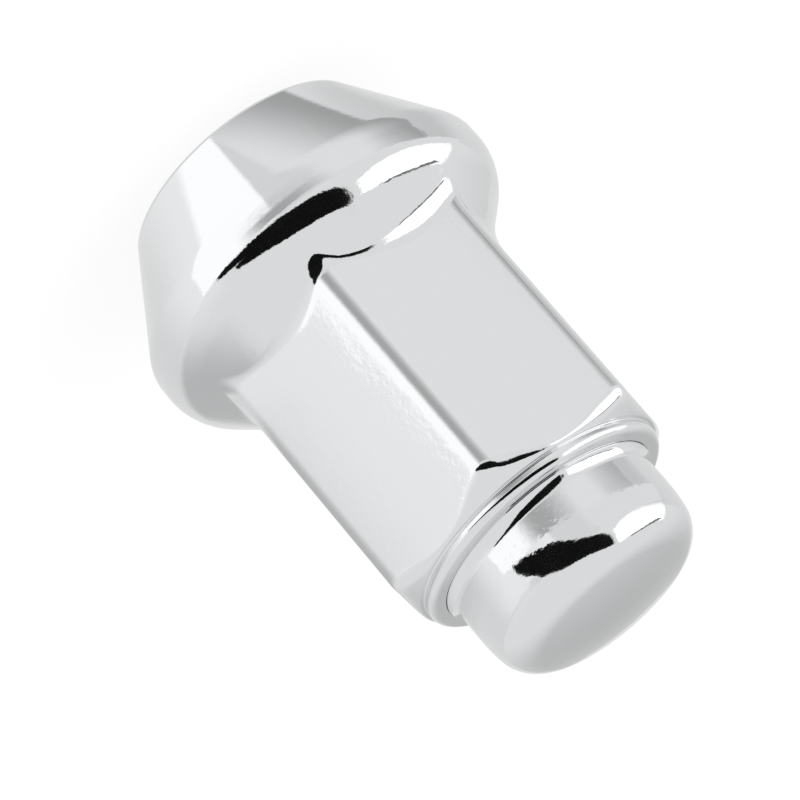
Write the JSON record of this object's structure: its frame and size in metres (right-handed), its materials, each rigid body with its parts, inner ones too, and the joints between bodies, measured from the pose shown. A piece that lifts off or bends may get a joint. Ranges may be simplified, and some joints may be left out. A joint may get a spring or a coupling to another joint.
{
  "type": "closed-end bulge lug nut",
  "caption": "Chromed closed-end lug nut with a conical seat, a bulged rim, a hexagon and a domed cap, for holding a road wheel on its stud.",
  "frame": {"origin": "centre of the flat open end, on the thread axis", "axes": "+Z runs along the thread axis from the open end to the domed end; +X points at a corner of the hexagon"},
  "size_m": [0.0262, 0.0262, 0.0392],
  "materials": {
    "chromed_body": "bright decorative chrome plate on forged steel",
    "chromed_cap": "bright decorative chrome plate on pressed steel"
  },
  "bodies": {
    "root": {"nut_body": "chromed_body", "end_cap": "chromed_cap"}
  },
  "joints": []
}
